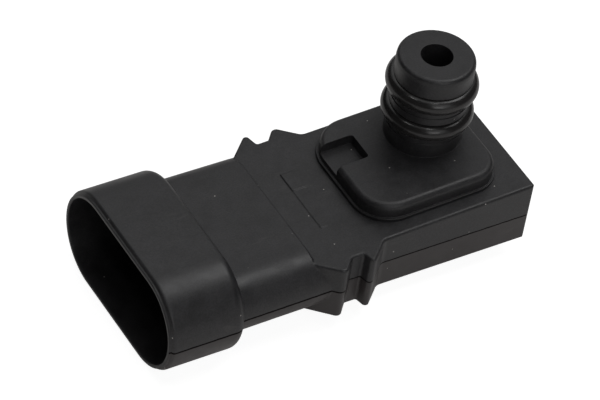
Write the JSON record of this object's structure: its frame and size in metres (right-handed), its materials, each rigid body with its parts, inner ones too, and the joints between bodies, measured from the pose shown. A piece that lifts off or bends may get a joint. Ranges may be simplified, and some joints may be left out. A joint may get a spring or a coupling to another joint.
{
  "type": "manifold absolute pressure sensor",
  "caption": "Black plastic pressure sensor for an intake manifold: oval connector socket, toothed lugs, and a sealed round port on a raised pad.",
  "frame": {"origin": "middle of the underside of the whole sensor's box, at the bottom of the connector collar", "axes": "+X from the connector socket's mouth to the port end, +Y to the side away from the viewer, +Z along the port spigot, upwards"},
  "size_m": [0.0608, 0.0306, 0.0301],
  "materials": {
    "body_plastic": "matte black moulded plastic with a fine grain",
    "cover_plastic": "matte black moulded plastic, slightly smoother",
    "o_ring_rubber": "smooth satin black rubber",
    "terminal_tin": "tin-plated copper alloy",
    "sealing_compound": "cured dark sealing compound",
    "adhesive": "cured grey adhesive",
    "board_ceramic": "fired white ceramic",
    "die_glass": "clear glass",
    "silicon": "polished dark silicon",
    "capacitor_ceramic": "brown ceramic",
    "resistor_ceramic": "black ceramic film",
    "solder": "dull solder",
    "contact_gold": "gold-plated pad",
    "bond_wire": "bright aluminium wire",
    "gel": "clear silicone gel"
  },
  "bodies": {
    "root": {"housing": "body_plastic", "port_cover": "cover_plastic", "cover_seal": "sealing_compound", "o_ring_upper": "o_ring_rubber", "o_ring_lower": "o_ring_rubber", "terminal_supply": "terminal_tin", "terminal_signal": "terminal_tin", "terminal_ground": "terminal_tin", "terminal_sealant": "sealing_compound", "circuit_board": "board_ceramic", "board_adhesive": "adhesive", "die_adhesive": "adhesive", "die_base": "die_glass", "pressure_die": "silicon", "chip_adhesive": "adhesive", "signal_chip": "silicon", "capacitors": "capacitor_ceramic", "resistors": "resistor_ceramic", "solder_joints": "solder", "contact_pads": "contact_gold", "lead_wires": "bond_wire", "die_wires": "bond_wire", "chip_wires": "bond_wire", "gel_ring": "cover_plastic", "protective_gel": "gel"}
  },
  "joints": []
}
